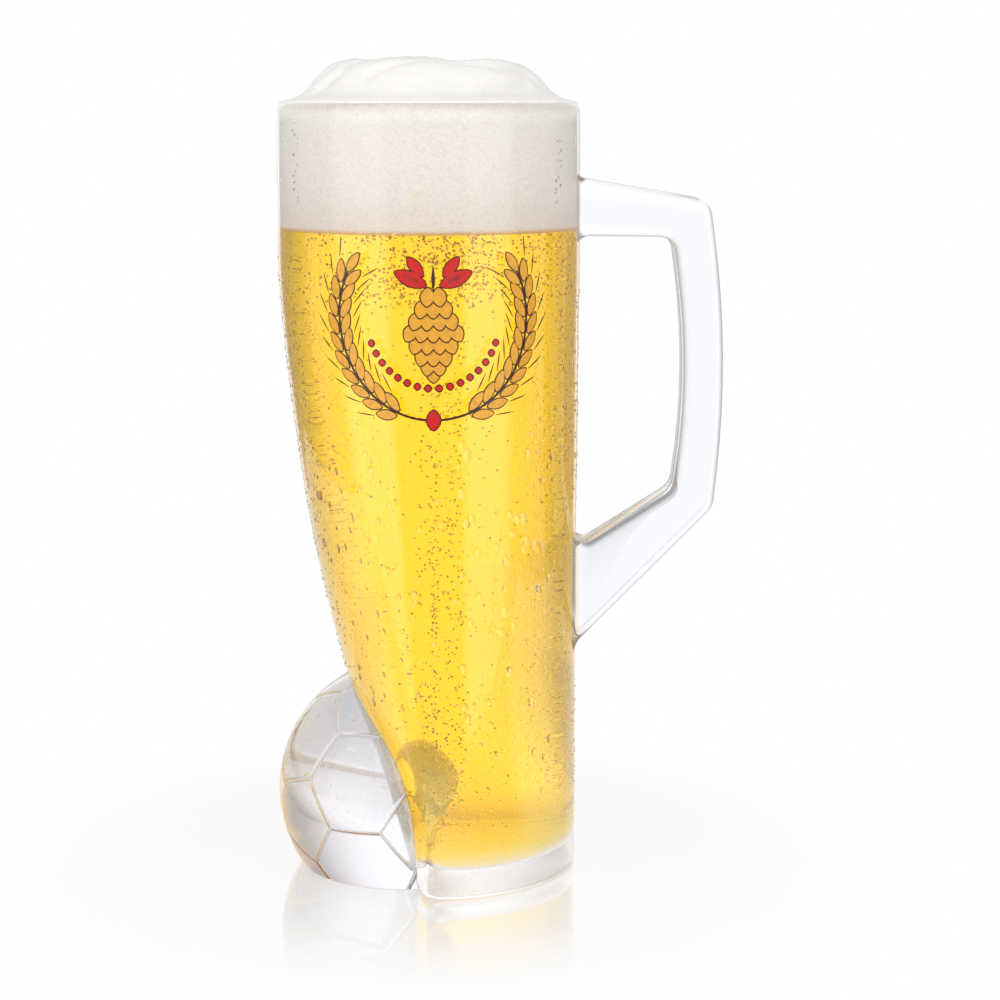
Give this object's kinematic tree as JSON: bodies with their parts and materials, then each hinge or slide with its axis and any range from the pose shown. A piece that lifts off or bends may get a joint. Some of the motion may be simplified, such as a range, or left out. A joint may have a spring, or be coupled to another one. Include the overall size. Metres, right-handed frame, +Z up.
{
  "type": "beer mug",
  "caption": "Tall clear glass beer mug whose flank draws in over a solid glass football, with a welded glass handle, filled with golden beer under a domed head of foam.",
  "frame": {"origin": "on the table, under the centre of the rim", "axes": "+X towards the handle, away from the ball, and +Z up"},
  "size_m": [0.1189, 0.0794, 0.2162],
  "materials": {
    "body_glass": "clear polished glass with condensation drops",
    "ball_glass": "clear solid glass with sunk seams",
    "handle_glass": "clear polished solid glass",
    "beer": null,
    "foam": null
  },
  "bodies": {
    "root": {"glass_body": "body_glass", "football": "ball_glass", "handle": "handle_glass", "beer": "beer", "foam_head": "foam"}
  },
  "joints": []
}
